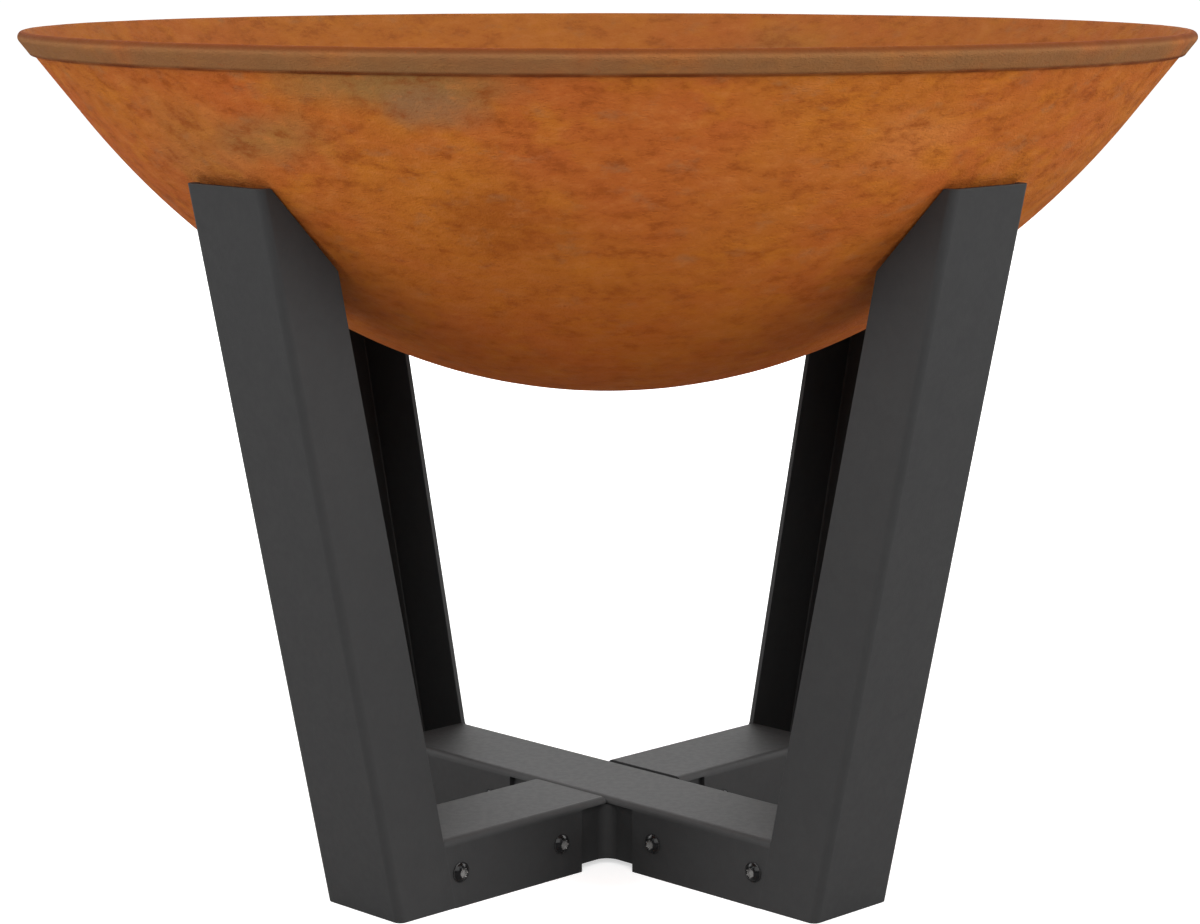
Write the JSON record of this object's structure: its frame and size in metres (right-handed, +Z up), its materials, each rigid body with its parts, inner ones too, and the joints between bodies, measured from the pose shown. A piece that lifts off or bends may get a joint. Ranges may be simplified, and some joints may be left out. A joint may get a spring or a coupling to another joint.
{
  "type": "fire pit with grate",
  "caption": "Shallow rusted cast-iron fire bowl with a drop-in bar grate, resting on a black folded-steel stand with leaning legs and a bolted cross base.",
  "frame": {"origin": "on the floor, under the centre of the bowl", "axes": "+Z up, -Y towards the side the stand's front corner faces, +X to the right seen from there; the legs stand between the axes"},
  "size_m": [0.5999, 0.6, 0.4357],
  "materials": {
    "rusted_cast_iron": "rusted, rough",
    "black_powder_coat": "fine matt texture",
    "black_zinc": "satin",
    "grate_steel": "heat-dulled"
  },
  "bodies": {
    "stand": {"front_left_leg": "black_powder_coat", "front_right_leg": "black_powder_coat", "back_right_leg": "black_powder_coat", "back_left_leg": "black_powder_coat", "long_beam": "black_powder_coat", "front_left_arm": "black_powder_coat", "back_right_arm": "black_powder_coat", "front_corner_bracket": "black_powder_coat", "right_corner_bracket": "black_powder_coat", "back_corner_bracket": "black_powder_coat", "left_corner_bracket": "black_powder_coat", "front_corner_bolts": "black_zinc", "right_corner_bolts": "black_zinc", "back_corner_bolts": "black_zinc", "left_corner_bolts": "black_zinc", "front_corner_nuts": "black_zinc", "right_corner_nuts": "black_zinc", "back_corner_nuts": "black_zinc", "left_corner_nuts": "black_zinc"},
    "bowl": {"fire_bowl": "rusted_cast_iron"},
    "grate": {"grate_ring": "grate_steel", "grate_bars": "grate_steel", "grate_cross_bars": "grate_steel", "grate_left_handle": "grate_steel", "grate_right_handle": "grate_steel"}
  },
  "joints": [
    {"name": "bowl_lift", "type": "slide", "parent": "stand", "child": "bowl", "axis": [0, 0, 1], "range_m": [0, 0.16]},
    {"name": "grate_lift", "type": "slide", "parent": "bowl", "child": "grate", "axis": [0, 0, 1], "range_m": [0, 0.14]}
  ]
}
